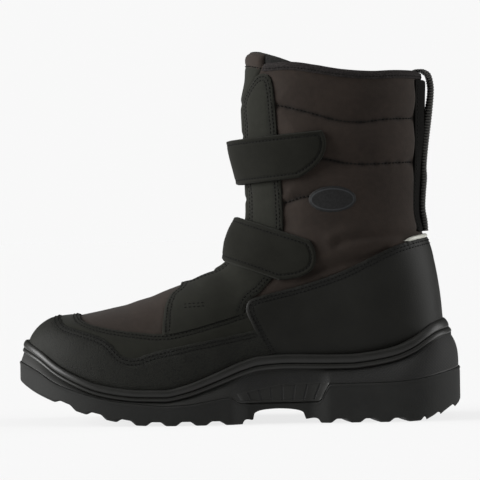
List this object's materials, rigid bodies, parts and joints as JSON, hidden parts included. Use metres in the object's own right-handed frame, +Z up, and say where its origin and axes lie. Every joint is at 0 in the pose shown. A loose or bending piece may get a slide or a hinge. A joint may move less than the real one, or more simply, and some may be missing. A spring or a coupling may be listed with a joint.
{
  "type": "snow boot",
  "caption": "Left snow boot with a quilted shaft, two broad straps over the tongue, a rubber toe guard, a heel pull loop and a thick lugged sole.",
  "frame": {"origin": "on the floor, under the middle of the boot's bounding box", "axes": "-X to the toe, +X to the heel, -Y to the outer side of the left foot, +Z up"},
  "size_m": [0.3078, 0.1147, 0.2565],
  "materials": {
    "tread_rubber": "semi-matt moulded rubber",
    "sole_rubber": "semi-gloss moulded rubber",
    "felt": "grey felt",
    "quilted_cloth": "dark brown quilted cloth with a short nap",
    "pebbled_rubber": "pebbled matt rubber",
    "nubuck": "black nubuck",
    "coated_leather": "black leather with a smooth coat",
    "reflective_tape": "light grey reflective tape",
    "webbing": "black woven tape",
    "moulded_patch": "matt moulded patch with a light rim"
  },
  "bodies": {
    "root": {"outsole": "tread_rubber", "midsole": "sole_rubber", "insole": "felt", "upper": "quilted_cloth", "tongue": "quilted_cloth", "toe_rand": "pebbled_rubber", "vamp_band": "nubuck", "facing_lateral": "nubuck", "facing_medial": "nubuck", "heel_counter": "coated_leather", "heel_piping": "reflective_tape", "collar_binding": "webbing", "backstay": "webbing", "pull_loop": "webbing", "badge_patch": "moulded_patch", "strap_upper": "nubuck", "strap_lower": "nubuck"}
  },
  "joints": []
}
